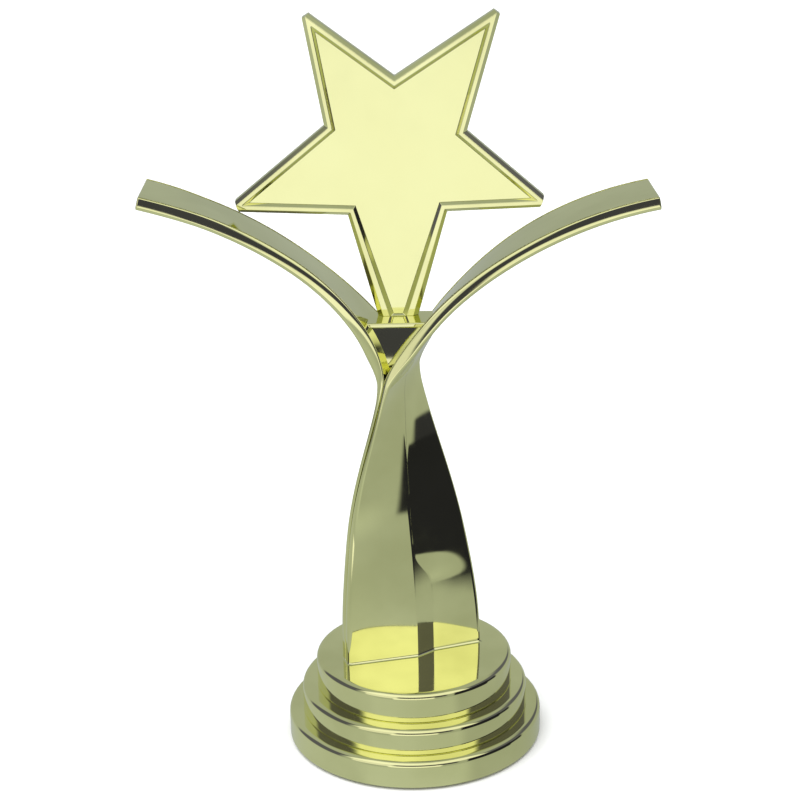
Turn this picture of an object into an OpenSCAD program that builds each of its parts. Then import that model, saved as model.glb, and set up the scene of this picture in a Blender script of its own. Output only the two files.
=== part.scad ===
// Star trophy: a three-tier round base, two ribbons that twist into one column and open
// into two arms, a wedge-shaped bridge between the arms, and a framed star standing on it.
// Units are millimetres. +Z is up, the star faces -Y, and the origin is the centre of the
// base's underside.

/* [Base] */
// Diameter of the lower tier
low_d = 86; // [72:0.2:110]
// Width of the step from the lower tier in to the middle one
mid_step = 4.8; // [4:0.1:6]
// Width of the step from the middle tier in to the upper one
top_step = 5.1; // [4:0.1:6]
// Height of the lower tier's top above the table
low_h = 10.4; // [10:0.2:16]
// Height of the middle tier
mid_h = 9.1; // [6:0.1:16]
// Height of the upper tier
top_h = 10.4; // [6:0.1:16]
// Wall of the three tiers
wall = 2.2; // [1.6:0.1:3]
// Deck thickness of the lower and middle tiers
deck = 2; // [1.6:0.1:2.6]
// Deck thickness of the upper tier, which carries the column
top_deck = 2.5; // [2:0.1:4]
// Rounding of the tiers' lower edges
edge_r = 0.5; // [0.2:0.1:1]
// Rounding of the tiers' upper edges
top_edge_r = 2; // [0.6:0.1:2.2]
// Thickness of the felt pad
felt_t = 1; // [0.5:0.1:1.6]
// Set-back of the felt pad from the lower tier's wall
felt_inset = 2; // [1:0.1:4]
// Thickness of the bottom plate
plate_t = 1.5; // [1:0.1:2]
// Radius of the recess in the bottom plate, around the bolt head
dish_r = 11; // [8:0.5:16]
// Height of the rings that centre each tier on the one below
spigot_h = 1.2; // [0.8:0.1:2]
// Width of those rings
spigot_w = 2; // [1.5:0.1:3]

/* [Fixings] */
// Thread diameter of the tie bolt
bolt_d = 5; // [4:0.5:6]
// How far the tie bolt reaches into the column
bolt_reach = 9.8; // [7:0.1:12]
// Gap between the felt pad and the bolt head
head_gap = 0.2; // [0.1:0.1:0.6]
// Height of the bolt head
head_h = 3.5; // [3:0.1:4]
// Width of the bolt head across its flats
head_af = 8; // [7:0.5:10]
// Thickness of the plain washer
washer_t = 1; // [0.8:0.1:1.5]
// Diameter of the plain washer
washer_d = 12; // [10:0.5:14]
// Thickness of the spring washer
spring_t = 1.2; // [0.8:0.1:1.5]
// Diameter of the spring washer
spring_d = 9; // [8:0.5:11]
// Width of the cut through the spring washer
spring_cut = 0.6; // [0.4:0.1:1]
// Diameter of the spacer sleeves on the bolt
sleeve_d = 9; // [8:0.5:12]
// Wall of the threaded insert in the column's foot
insert_wall = 1; // [0.8:0.1:1.4]
// Length of the threaded insert
insert_len = 14; // [12:1:18]
// Depth of the two grooves round the insert, which keep it from pulling out
groove = 0.5; // [0.2:0.1:0.6]
// Diameter of the pins that stop the column turning
foot_pin_d = 2.5; // [2:0.1:3]
// How far the foot pins stand in the column
foot_pin_up = 6; // [4:0.5:10]
// Distance of each foot pin from the column's middle
foot_pin_off = 13; // [10:0.5:16]
// Diameter of the dowels that locate the two ribbons
dowel_d = 2.5; // [2:0.1:3]
// Length of those dowels
dowel_len = 4.4; // [3:0.1:5]
// Diameter of the dowels that hold the bridge
bridge_dowel_d = 2; // [1.5:0.1:2.5]
// Length of the bridge dowels
bridge_dowel_len = 4; // [3:0.1:4.5]
// Diameter of the pins in the star's foot
star_pin_d = 1.4; // [1:0.1:1.6]
// How far the star pins stand in the star
star_pin_up = 3.5; // [2:0.1:4]
// How far the star pins reach below the bridge cap's top
star_pin_down = 4.5; // [3:0.1:5]
// Clearance of every bolt, pin, sleeve and insert in its hole, on the radius
fit = 0.05; // [0.02:0.01:0.1]
// Clearance of the plates and rings that drop into place, on each side
gap = 0.15; // [0.1:0.05:0.3]

/* [Ribbons] */
// Height of the neck, where the two ribbons part
neck_z = 128.7; // [107:0.1:156]
// Sideways place of the neck, from the base's centre
crown_x = -3; // [-4:0.1:4]
// Sideways place of the column's foot
foot_x = -0.6; // [-2:0.1:2]
// Height over which the column leans from one to the other
lean_len = 82; // [60:1:98]
// Width of the column at its foot
foot_w = 47.6; // [38:0.2:54]
// Width of the arms
arm_w = 24.4; // [20:0.2:30]
// Thickness of one ribbon at the foot
foot_t = 3.5; // [3.5:0.1:4.5]
// Thickness of one ribbon at the waist, its thinnest place
waist_t = 1.5; // [1.5:0.1:3]
// Thickness of one ribbon along the arms
arm_t = 4.2; // [3.5:0.1:5]
// Turn of the column's broad face at the foot, from straight ahead
foot_turn = 19; // [0:0.1:30]
// Part of the turn that comes slowly, from the foot up
early_turn = 10; // [0:0.5:16]
// Turn of the ribbons at the neck
neck_turn = 77.4; // [60:0.2:85]
// Turn of the right arm
right_turn = 92; // [85:1:95]
// Turn of the left arm in its middle
left_turn = 95.8; // [85:0.1:102]
// Height over which the column twists
twist_len = 78; // [50:1:95]
// How far above the neck the twist ends
twist_over = 23; // [14:0.5:26]
// Height of the straight part above the foot, before the column narrows
straight_h = 3.5; // [0:0.5:20]
// How far the waist lies below the neck
waist_below = 7; // [0:1:30]
// Height of the crest on the column's broad faces, at the foot
crest_h = 2.4; // [1.5:0.1:3]
// Distance over which the crest steps back to the face
crest_w = 6.8; // [4:0.1:9]
// Height above the foot at which the crest's step begins to narrow
step_low = 25; // [10:1:27]
// Height above the foot at which it is at its narrowest
step_high = 37; // [28:1:50]
// Share of the step's width and height that carries on up the column
step_lasting = 0.15; // [0.1:0.05:0.9]
// Chamfer of the ribbons' outer edges
edge_c = 0.9; // [0.2:0.1:0.9]
// Chamfer of the ribbons' inner edges
seam_c = 0.4; // [0.2:0.1:0.5]
// Reach of the right arm from the neck
right_reach = 81.5; // [70:0.1:95]
// Rise of the right arm's end above the neck
right_rise = 60.6; // [50:0.1:74]
// Slope of the right arm's end
right_slope = 10; // [0:0.2:20]
// Reach of the left arm from the neck
left_reach = 79.3; // [70:0.1:95]
// Rise of the left arm's end above the neck
left_rise = 64; // [50:0.5:74]
// Slope of the left arm's end
left_slope = 15; // [0:0.5:24]
// How long the right arm keeps upright at the neck
right_pull = 11; // [9:0.5:20]
// How long the left arm keeps upright at the neck
left_pull = 10; // [9:0.5:20]
// How long the right arm keeps its end slope
right_end_pull = 55; // [35:1:60]
// How long the left arm keeps its end slope
left_end_pull = 60; // [35:1:62]

/* [Bridge] */
// Height of the bridge's top above the neck
bridge_up = 19.8; // [18:0.1:23]
// Depth of the bridge block, front to back
block_d = 12.2; // [10:0.2:14]
// How far the cap stands proud of the block, front and back
cap_over = 0.5; // [0.2:0.1:1]
// Thickness of the cap
cap_t = 1.6; // [1.2:0.1:2.5]
// How far above the neck the bridge block begins
block_up = 3; // [3:0.5:8]

/* [Star] */
// Sideways place of the star, from the base's centre
star_x = -2.4; // [-4:0.1:-1]
// Scale of the star's outline
star_scale = 1; // [0.83:0.01:1.2]
// Place of the star's front, from the middle of the bridge towards the back
star_y = 1.2; // [0:0.1:1.6]
// Thickness of the star, front to back
star_t = 4.6; // [4.2:0.1:5]
// Width of the star's rim
rim_w = 3.2; // [2.6:0.1:4]
// Depth of the panel's face below the rim's crest
recess = 1; // [0.6:0.1:1.4]
// Depth of the bevel outside the crest
bevel_d = 1.4; // [0.8:0.1:1.8]
// Distance of the crest from the outline
crest_in = 1.1; // [0.6:0.1:1.5]
// Width of the flat along the crest
crest_flat = 1.2; // [0.4:0.1:1.4]
// Chamfer of the rim's back edge
back_c = 0.6; // [0.2:0.1:0.8]
// Thickness of the star's front panel
panel_t = 1.2; // [0.8:0.1:1.4]
// Thickness of the star's back plate
back_t = 1.2; // [0.8:0.1:1.4]
// Width of the ledge that the panel and the back plate seat on
ledge_w = 1.4; // [1:0.1:2]
// Height of the bar below the panel, at the star's foot
foot_bar = 0.6; // [0.4:0.1:1.6]
// Share of the foot's opening that the rim fills as it widens towards the foot
foot_fill = 0.8; // [0:0.05:0.8]
// How much the star's upper points are cut back
top_cut = 3; // [1:0.1:5]
// How much its side points are cut back
side_cut = 4.8; // [1:0.1:6]

/* [Hidden] */
$fn = 96;
column_steps = 32;
arm_steps = 26;
wedge_steps = 12;
below = 1;      // how far a cut runs past the face that it opens

gold = [0.80, 0.76, 0.47];
pale_gold = [0.96, 0.95, 0.70];
steel = [0.66, 0.67, 0.69];
iron = [0.30, 0.30, 0.31];
brass = [0.75, 0.62, 0.32];
felt = [0.10, 0.10, 0.11];

low_r = low_d / 2;
mid_r = low_r - mid_step;
top_r = mid_r - top_step;
mid_z = low_h + mid_h;
foot_z = mid_z + top_h;
bolt_r = bolt_d / 2;
plate_r = low_r - wall - gap;
dish_z = low_h - deck;
head_z = felt_t + head_gap;
seat_z = head_z + head_h + spring_t + washer_t;
bolt_end = foot_z + bolt_reach;
insert_d = bolt_d + 2 * insert_wall;

bridge_z = neck_z + bridge_up;
cap_z = bridge_z - cap_t;
cap_d = block_d + 2 * cap_over;
twist_top = neck_z + twist_over;
flare_top = neck_z + 18;
waist_z = neck_z - waist_below;
thick_foot_z = foot_z + 90;
arm_thick_z = neck_z + 13.7;
arm_level = 90;         // turn at which a ribbon's width runs straight from front to back
right_level_up = 63;    // height above the neck at which the right arm has its full turn
left_early = 43.7;      // height above the neck at which the left arm has its full turn
left_late = 56.5;       // height above the neck at which it starts to turn back
bridge_share = 0.5;     // share of the arms' length along which the bridge is first made
bridge_dowel_share = 0.27;  // share of an arm's length at which its bridge dowel sits
sink = 0.8;             // how far the uncut bridge runs into each arm

// The star's outline, clockwise from its upper left point: x from the star's centre line
// and height above its foot. Each leg of the foot runs on below the bridge's top and is cut
// off level with it.
foot_drop = rim_w - foot_bar;
star_shape = [
    [-28.5, 99.0], [0.1, 77.2], [33.8, 98.8], [22.4, 59.6], [50.5, 34.8], [15.9, 33.9],
    [6.2, 0], [-6.8, 0], [-15.6, 33.4], [-55.2, 35.4], [-22.2, 62.1]
];
top_tips = [0, 2];
side_tips = [4, 9];
foot_right = 6;
foot_left = 7;
star_front = star_y;
star_back_y = star_front + star_t;
star_mid_y = star_front + star_t / 2;

// ---- curves -------------------------------------------------------------------------------

function ease(u) = let (t = max(0, min(1, u))) t * t * (3 - 2 * t);
function ramp(z, from, to) = ease((z - from) / (to - from));
function unit(v) = v / norm(v);

// A point and a direction on a cubic curve given by its four control points.
function curve(p, t) =
    pow(1 - t, 3) * p[0] + 3 * pow(1 - t, 2) * t * p[1]
    + 3 * (1 - t) * t * t * p[2] + pow(t, 3) * p[3];
function curve_dir(p, t) =
    3 * pow(1 - t, 2) * (p[1] - p[0]) + 6 * (1 - t) * t * (p[2] - p[1])
    + 3 * t * t * (p[3] - p[2]);

// ---- ribbons ------------------------------------------------------------------------------
// side is 1 for the ribbon whose arm goes right and -1 for the one whose arm goes left.
// A ribbon's inner face runs along a line in the XZ plane; its width is level and turns
// about Z, and its thickness stands off the inner face.

function arm_controls(side) =
    let (
        reach = side > 0 ? right_reach : left_reach,
        rise = side > 0 ? right_rise : left_rise,
        slope = side > 0 ? right_slope : left_slope,
        pull = side > 0 ? right_pull : left_pull,
        end_pull = side > 0 ? right_end_pull : left_end_pull,
        start = [crown_x, 0, neck_z],
        end = start + [side * reach, 0, rise]
    )
    [start, start + [0, 0, pull], end - end_pull * [side * cos(slope), 0, sin(slope)], end];

function early_share(z) = 1 - pow(1 - max(0, min(1, (z - foot_z) / (twist_top - foot_z))), 2);

function turn(z, side) =
    foot_turn + early_turn * early_share(z)
    + (neck_turn - foot_turn - early_turn) * ramp(z, twist_top - twist_len, twist_top)
    + (side > 0
        ? (right_turn - neck_turn) * ramp(z, twist_top, neck_z + right_level_up)
        : (left_turn - neck_turn) * ramp(z, neck_z, neck_z + left_early)
            - (left_turn - arm_level) * ramp(z, neck_z + left_late, neck_z + left_rise));

function half_width(z) =
    (foot_w + (arm_w - foot_w) * ramp(z, foot_z + straight_h, flare_top)) / 2;

function thickness(z) =
    foot_t + (waist_t - foot_t) * ramp(z, foot_z, thick_foot_z)
    + (arm_t - waist_t) * ramp(z, waist_z, arm_thick_z);

function crest(z) = crest_h * (1 - ramp(z, foot_z, flare_top));

// Share of the crest's step that is left at a height.
function step_share(z) = 1 - (1 - step_lasting) * ramp(z, foot_z + step_low, foot_z + step_high);

// One station: [point on the inner face, direction of its width, direction of its thickness].
function station(point, dir, side) =
    let (a = turn(point[2], side), w = [cos(a), sin(a), 0])
    [point, w, side * unit(cross(w, dir))];

function column_point(z) =
    [foot_x + (crown_x - foot_x) * ramp(z, foot_z, foot_z + lean_len), 0, z];

function column_stations(side) = [
    for (i = [0 : column_steps - 1])
        station(column_point(foot_z + (neck_z - foot_z) * i / column_steps), [0, 0, 1], side)
];

function arm_stations(side, last = 1) = [
    for (i = [0 : arm_steps])
        let (p = arm_controls(side), t = last * i / arm_steps)
        station(curve(p, t), curve_dir(p, t), side)
];

// The section at a station, as points across the width and through the thickness. The crest
// falls away gently to one side and steps down on the other, where the face behind the step
// rises as the step narrows; on the back ribbon the two sides change places, so that the
// column looks the same from behind.
function section(z, side) =
    let (
        h = half_width(z),
        t = thickness(z),
        top = t + crest(z),
        toe = top - crest(z) * step_share(z),
        back = crest_w * step_share(z)
    )
    [
        [-h + seam_c, 0], [h - seam_c, 0], [h, seam_c], [h, t - edge_c], [h - edge_c, t],
        side > 0 ? [back, toe] : [0, top], side > 0 ? [0, top] : [-back, toe],
        [-h + edge_c, t], [-h, t - edge_c], [-h, seam_c]
    ];

function ring(s, side) = [
    for (q = section(s[0][2], side)) s[0] + q[0] * s[1] + q[1] * s[2]
];

// A closed mesh through rings of equal length; flip turns its faces round.
module loft(rings, flip = false) {
    n = len(rings[0]);
    last = (len(rings) - 1) * n;
    sides = [
        for (i = [0 : len(rings) - 2], j = [0 : n - 1])
            let (
                a = i * n + j,
                b = i * n + (j + 1) % n
            )
            each [[a, b, b + n], [a, b + n, a + n]]
    ];
    bottom = [for (j = [0 : n - 1]) n - 1 - j];
    top = [for (j = [0 : n - 1]) last + j];
    faces = concat(sides, [bottom], [top]);
    turned = [for (f = faces) [for (k = [len(f) - 1 : -1 : 0]) f[k]]];
    polyhedron(points = [for (r = rings) each r], faces = flip ? turned : faces, convexity = 6);
}

module ribbon_body(side) {
    stations = concat(column_stations(side), arm_stations(side));
    loft([for (s = stations) ring(s, side)], side < 0);
}

// ---- holes and pins -----------------------------------------------------------------------

// Runs its children at each foot pin's centre.
module at_foot_pins() {
    for (way = [-1, 1])
        rotate([0, 0, foot_turn])
            translate([way * foot_pin_off, 0, 0])
                children();
}

// Runs its children on the joint between the ribbons, with Z through their thickness.
module at_ribbon_dowels() {
    for (z = [foot_z + 26, foot_z + 44])
        translate(column_point(z))
            rotate([0, 0, turn(z, 1)])
                rotate([90, 0, 0])
                    children();
}

// Place on an arm's inner line at a share of its length.
function bridge_dowel_at(side) = curve(arm_controls(side), bridge_dowel_share);

module at_bridge_dowels() {
    for (side = [1, -1])
        translate(bridge_dowel_at(side))
            rotate([0, 90, 0])
                children();
}

// Place of a star pin, in the middle of one leg of the star's rim.
function leg_x(corner, notch) =
    let (mid = rim_line(rim_w / 2), a = mid[corner], b = mid[notch])
    a[0] + (b[0] - a[0]) * (star_pin_up / 2 - a[1]) / (b[1] - a[1]);

module at_star_pins() {
    for (x = [leg_x(foot_left, foot_left + 1), leg_x(foot_right, foot_right - 1)])
        translate([star_x + x, star_mid_y, bridge_z])
            children();
}

module pin(d, low, high) {
    translate([0, 0, low])
        cylinder(d = d, h = high - low);
}

// ---- base ---------------------------------------------------------------------------------

// A tier's outer shape from z0 to z1, with rounded outer edges.
module tier_outline(r, z0, z1) {
    translate([0, z0])
        square([r - top_edge_r, z1 - z0]);
    translate([0, z0])
        square([r - edge_r, z1 - z0 - top_edge_r]);
    translate([0, z0 + edge_r])
        square([r, z1 - z0 - edge_r - top_edge_r]);
    translate([r - edge_r, z0 + edge_r])
        circle(r = edge_r);
    translate([r - top_edge_r, z1 - top_edge_r])
        circle(r = top_edge_r);
}

// A tier: a cap with a wall, a deck, a hole for the bolt and, below another tier, a ring
// that centres that tier.
module tier(r, z0, z1, deck_t, next_r) {
    rotate_extrude() {
        difference() {
            tier_outline(r, z0, z1);
            translate([-below, z0 - below])
                square([r - wall + below, z1 - deck_t - z0 + below]);
            translate([-below, z0])
                square([bolt_r + gap + below, z1 - z0 + below]);
        }
        if (next_r > 0)
            translate([next_r - wall - gap - spigot_w, z1])
                square([spigot_w, spigot_h]);
    }
}

module lower_tier() {
    color(gold)
        tier(low_r, felt_t, low_h, deck, mid_r);
}

module middle_tier() {
    color(gold)
        tier(mid_r, low_h, mid_z, deck, top_r);
}

module upper_tier() {
    color(gold)
        difference() {
            tier(top_r, mid_z, foot_z, top_deck, 0);
            at_foot_pins()
                pin(foot_pin_d + 2 * fit, foot_z - top_deck - below, foot_z + below);
        }
}

module felt_pad() {
    color(felt)
        cylinder(r = low_r - felt_inset, h = felt_t);
}

// A flat plate with a raised middle that hides the bolt head.
module bottom_plate() {
    color(steel)
        rotate_extrude()
            difference() {
                union() {
                    translate([0, felt_t])
                        square([plate_r, plate_t]);
                    translate([0, felt_t])
                        square([dish_r + plate_t, dish_z - felt_t]);
                }
                translate([-below, felt_t - below])
                    square([dish_r + below, seat_z - felt_t + below]);
                translate([-below, felt_t])
                    square([bolt_r + gap + below, dish_z]);
            }
}

module ballast_ring() {
    color(iron)
        rotate_extrude()
            translate([dish_r + plate_t + gap, felt_t + plate_t])
                square([plate_r - dish_r - plate_t - gap, dish_z - felt_t - plate_t]);
}

module tie_bolt() {
    color(steel) {
        translate([0, 0, head_z])
            cylinder(d = head_af / cos(30), h = head_h, $fn = 6);
        pin(bolt_d, head_z + head_h, bolt_end);
    }
}

module plain_washer() {
    color(steel)
        difference() {
            pin(washer_d, seat_z - washer_t, seat_z);
            pin(bolt_d + 2 * gap, head_z, dish_z);
        }
}

// A ring with one slanting cut through it.
module spring_washer() {
    color(steel)
        difference() {
            pin(spring_d, head_z + head_h, seat_z - washer_t);
            pin(bolt_d + 2 * gap, head_z, dish_z);
            translate([spring_d / 2, 0, head_z + head_h + spring_t / 2])
                rotate([30, 0, 0])
                    cube([spring_d, spring_cut, 4 * spring_t], center = true);
        }
}

module spacer_sleeves() {
    color(steel)
        for (span = [[low_h, mid_z - deck], [mid_z, foot_z - top_deck]])
            difference() {
                pin(sleeve_d, span[0], span[1]);
                pin(bolt_d + 2 * gap, span[0] - below, span[1] + below);
            }
}

// ---- column and arms ----------------------------------------------------------------------

module foot_insert() {
    color(brass)
        difference() {
            pin(insert_d, foot_z, foot_z + insert_len);
            pin(bolt_d + 2 * fit, foot_z - below, foot_z + insert_len + below);
            for (share = [0.3, 0.7])
                translate([0, 0, foot_z + share * insert_len])
                    rotate_extrude()
                        translate([insert_d / 2 - groove, -groove])
                            square([2 * groove, 2 * groove]);
        }
}

module foot_pins() {
    color(steel)
        at_foot_pins()
            pin(foot_pin_d, foot_z - top_deck, foot_z + foot_pin_up);
}

module ribbon_holes() {
    pin(insert_d + 2 * fit, foot_z - below, foot_z + insert_len + fit);
    at_foot_pins()
        pin(foot_pin_d + 2 * fit, foot_z - below, foot_z + foot_pin_up + fit);
    at_ribbon_dowels()
        pin(dowel_d + 2 * fit, -dowel_len / 2 - fit, dowel_len / 2 + fit);
    at_bridge_dowels()
        pin(bridge_dowel_d + 2 * fit, -bridge_dowel_len / 2 - fit, bridge_dowel_len / 2 + fit);
}

module right_ribbon() {
    color(gold)
        difference() {
            ribbon_body(1);
            ribbon_holes();
        }
}

module left_ribbon() {
    color(gold)
        difference() {
            ribbon_body(-1);
            ribbon_holes();
        }
}

module ribbon_dowels() {
    color(steel)
        at_ribbon_dowels()
            pin(dowel_d, -dowel_len / 2, dowel_len / 2);
}

// ---- bridge -------------------------------------------------------------------------------

// The wedge between the arms' inner faces. It runs a little into both arms, and past the
// bridge's front, back and top, before it is cut to fit.
function wedge_ring(t) =
    let (
        reach = cap_d / 2 + below,
        l = station(curve(arm_controls(-1), t), curve_dir(arm_controls(-1), t), -1),
        r = station(curve(arm_controls(1), t), curve_dir(arm_controls(1), t), 1)
    )
    [
        l[0] - reach * l[1] + sink * l[2], r[0] - reach * r[1] + sink * r[2],
        r[0] + reach * r[1] + sink * r[2], l[0] + reach * l[1] + sink * l[2]
    ];

module wedge(depth, z0, z1) {
    wide = left_reach + right_reach;
    difference() {
        intersection() {
            loft([for (i = [0 : wedge_steps]) wedge_ring(bridge_share * i / wedge_steps)], true);
            translate([-wide, -depth / 2, z0])
                cube([2 * wide, depth, z1 - z0]);
        }
        ribbon_body(1);
        ribbon_body(-1);
    }
}

module bridge_block() {
    color(gold)
        difference() {
            wedge(block_d, neck_z + block_up, cap_z);
            at_star_pins()
                pin(star_pin_d + 2 * fit, -star_pin_down - fit, below);
            at_bridge_dowels()
                pin(bridge_dowel_d + 2 * fit, -bridge_dowel_len / 2 - fit,
                    bridge_dowel_len / 2 + fit);
        }
}

module bridge_cap() {
    color(gold)
        difference() {
            wedge(cap_d, cap_z, bridge_z);
            at_star_pins()
                pin(star_pin_d + 2 * fit, -star_pin_down - fit, below);
        }
}

module bridge_dowels() {
    color(steel)
        at_bridge_dowels()
            pin(bridge_dowel_d, -bridge_dowel_len / 2, bridge_dowel_len / 2);
}

// ---- star ---------------------------------------------------------------------------------

star_outline = [
    for (i = [0 : len(star_shape) - 1])
        star_scale * star_shape[i]
            - (i == foot_right || i == foot_left ? foot_slide(i) : [0, 0])
];

// Moves a foot corner down along its leg, so that the rim's inner edge leaves the foot bar.
function foot_slide(i) =
    let (
        notch = i == foot_right ? i - 1 : i + 1,
        leg = star_shape[notch] - star_shape[i]
    )
    foot_drop / leg[1] * leg;

// The outline with every edge moved inwards by d.
function inset(points, d) = [
    for (i = [0 : len(points) - 1])
        let (
            n = len(points),
            before = unit(points[i] - points[(i + n - 1) % n]),
            after = unit(points[(i + 1) % n] - points[i]),
            n1 = [before[1], -before[0]],
            n2 = [after[1], -after[0]]
        )
        points[i] + d * (n1 + n2) / (1 + n1 * n2)
];

// The outline inset by d, with its two foot corners drawn together so that the rim widens
// towards the foot.
function rim_line(d) =
    let (
        points = inset(star_outline, d),
        ledge = inset(star_outline, rim_w + ledge_w),
        opening = ledge[foot_right][0] - ledge[foot_left][0],
        draw = foot_fill * opening / 2 * min(1, d / rim_w)
    )
    [
        for (i = [0 : len(points) - 1])
            points[i] + [i == foot_right ? -draw : i == foot_left ? draw : 0, 0]
    ];

// How much one corner of the outline is cut back.
function cut_at(i) =
    len(search(i, top_tips)) > 0 ? top_cut : len(search(i, side_tips)) > 0 ? side_cut : 0;

// The outline with each point of the star cut off square.
function cut_tips(points) = [
    for (i = [0 : len(points) - 1])
        let (
            n = len(points),
            to_last = unit(points[(i + n - 1) % n] - points[i]),
            to_next = unit(points[(i + 1) % n] - points[i]),
            along = cut_at(i) / (unit(to_last + to_next) * to_next)
        )
        each along > 0
            ? [points[i] + along * to_last, points[i] + along * to_next]
            : [points[i]]
];

// Stands a flat shape up behind the star's front, from one depth to another.
module slab(points, d0, d1) {
    translate([star_x, star_front + d1, bridge_z])
        rotate([90, 0, 0])
            linear_extrude(height = d1 - d0)
                polygon(points);
}

module below_foot() {
    wide = 2 * norm(star_outline[0]);
    translate([star_x - wide / 2, star_front - below, bridge_z - wide])
        cube([wide, star_t + 2 * below, wide]);
}

// The rim: its section runs round the outline, given as distance from the outline and depth.
module star_frame() {
    ledge_front = recess + panel_t;
    ledge_back = star_t - back_t;
    rim = [
        [0, bevel_d], [crest_in, 0], [crest_in + crest_flat, 0], [rim_w, recess],
        [rim_w, ledge_front], [rim_w + ledge_w, ledge_front], [rim_w + ledge_w, ledge_back],
        [rim_w, ledge_back], [rim_w, star_t], [back_c, star_t], [0, star_t - back_c]
    ];
    n = len(rim);
    corners = len(star_outline);
    points = [
        for (q = rim, p = rim_line(q[0]))
            [star_x + p[0], star_front + q[1], bridge_z + p[1]]
    ];
    faces = [
        for (j = [0 : n - 1], i = [0 : corners - 1])
            let (
                a = j * corners + i,
                b = j * corners + (i + 1) % corners,
                c = ((j + 1) % n) * corners + (i + 1) % corners,
                d = ((j + 1) % n) * corners + i
            )
            each [[a, b, c], [a, c, d]]
    ];
    color(gold)
        difference() {
            intersection() {
                polyhedron(points = points, faces = faces, convexity = 8);
                slab(cut_tips(star_outline), -below, star_t + below);
            }
            below_foot();
            at_star_pins()
                pin(star_pin_d + 2 * fit, -below, star_pin_up + fit);
        }
}

module star_panel() {
    color(pale_gold)
        slab(rim_line(rim_w + fit), recess, recess + panel_t);
}

module star_back_plate() {
    color(gold)
        slab(rim_line(rim_w + fit), star_t - back_t, star_t);
}

module star_pins() {
    color(steel)
        at_star_pins()
            pin(star_pin_d, -star_pin_down, star_pin_up);
}

lower_tier();
middle_tier();
upper_tier();
felt_pad();
bottom_plate();
ballast_ring();
tie_bolt();
plain_washer();
spring_washer();
spacer_sleeves();
foot_insert();
foot_pins();
right_ribbon();
left_ribbon();
ribbon_dowels();
bridge_block();
bridge_cap();
bridge_dowels();
star_frame();
star_panel();
star_back_plate();
star_pins();
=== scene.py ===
"""Looks of a gold-plated star trophy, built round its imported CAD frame.

Lengths in the pieces' classes are millimetres, as a maker would write them, and become metres
where they meet Blender. Angles are degrees. The star faces -Y, Z is up and the origin is the
centre of the underside.
"""

import logging
import math
from dataclasses import dataclass, field
from enum import Enum

import bpy
from mathutils import Matrix, Vector

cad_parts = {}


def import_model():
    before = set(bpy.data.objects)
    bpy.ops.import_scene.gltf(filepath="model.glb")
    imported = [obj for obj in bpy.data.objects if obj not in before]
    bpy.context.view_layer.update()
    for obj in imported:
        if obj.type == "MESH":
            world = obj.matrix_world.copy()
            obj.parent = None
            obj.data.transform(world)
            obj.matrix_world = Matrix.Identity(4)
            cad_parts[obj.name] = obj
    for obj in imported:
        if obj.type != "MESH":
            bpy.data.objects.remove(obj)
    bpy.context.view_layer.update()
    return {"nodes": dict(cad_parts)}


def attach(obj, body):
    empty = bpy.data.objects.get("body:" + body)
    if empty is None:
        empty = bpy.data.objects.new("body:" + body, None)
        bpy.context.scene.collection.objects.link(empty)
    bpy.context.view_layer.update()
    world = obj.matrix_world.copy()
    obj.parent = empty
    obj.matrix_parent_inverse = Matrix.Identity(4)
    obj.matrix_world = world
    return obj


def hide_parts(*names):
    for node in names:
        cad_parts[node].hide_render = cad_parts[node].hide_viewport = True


MM = 0.001
DEGREES = math.degrees(1)
ROOT = "root"

Span = tuple[float, float]
Tone = tuple[float, float, float]

FULL: Span = (0.0, 1.0)
WHITE: Tone = (1.0, 1.0, 1.0)
ROUND_STEPS = 256
CORNER_SEGMENTS = 6
CORNER_POINTS = CORNER_SEGMENTS + 3
SQUARE_TURN = 90.0
SQUARE_ON = 0.99
SAME_LEVEL = 1e-5
MERGE = 1e-7
WIDE_MERGE = 2e-6
HALVINGS = 40

log = logging.getLogger("star_trophy")


class Side(Enum):
    """Which arm a ribbon opens into: the sign of the X direction that it reaches in."""

    RIGHT = 1
    LEFT = -1


class Slot(Enum):
    """Material slots that the pieces take their finishes from."""

    PLATE = "gold_plate"
    PANEL = "gold_panel"
    STEEL = "steel"
    IRON = "iron"
    BRASS = "brass"
    FELT = "felt"


# ---- helpers at the bench -------------------------------------------------------------------


def clear_bench() -> None:
    """Leaves edit mode and deselects everything."""
    if bpy.context.mode != "OBJECT":
        bpy.ops.object.mode_set(mode="OBJECT")
    bpy.ops.object.select_all(action="DESELECT")


def active_as(name: str) -> bpy.types.Object:
    """Names the object that was just added, and its mesh.

    Args:
        name: Piece name.

    Returns:
        The active object.
    """
    piece = bpy.context.active_object
    piece.name = name
    piece.data.name = name
    return piece


def edit_mode(select: str = "DESELECT") -> None:
    """Goes into edit mode on the active object.

    Args:
        select: SELECT or DESELECT, for all of its mesh.
    """
    bpy.ops.object.mode_set(mode="EDIT")
    bpy.ops.mesh.select_mode(type="VERT")
    bpy.ops.mesh.select_all(action=select)


def merge_and_face_out(distance: float = MERGE) -> None:
    """Merges doubled vertices and turns every face of the edited mesh outwards.

    Args:
        distance: Merge distance in metres.
    """
    bpy.ops.mesh.select_all(action="SELECT")
    bpy.ops.mesh.remove_doubles(threshold=distance)
    bpy.ops.mesh.normals_make_consistent(inside=False)


def take(piece: bpy.types.Object) -> None:
    """Leaves edit mode and makes one piece the only selected and the active one.

    Args:
        piece: Piece to work on next.
    """
    clear_bench()
    piece.select_set(True)
    bpy.context.view_layer.objects.active = piece


def settle(piece: bpy.types.Object) -> None:
    """Moves the object's placing into its mesh and shades it smooth.

    Args:
        piece: Object to settle at the origin.
    """
    take(piece)
    bpy.ops.object.transform_apply(location=True, rotation=True, scale=True)
    bpy.ops.object.shade_smooth()


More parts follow.
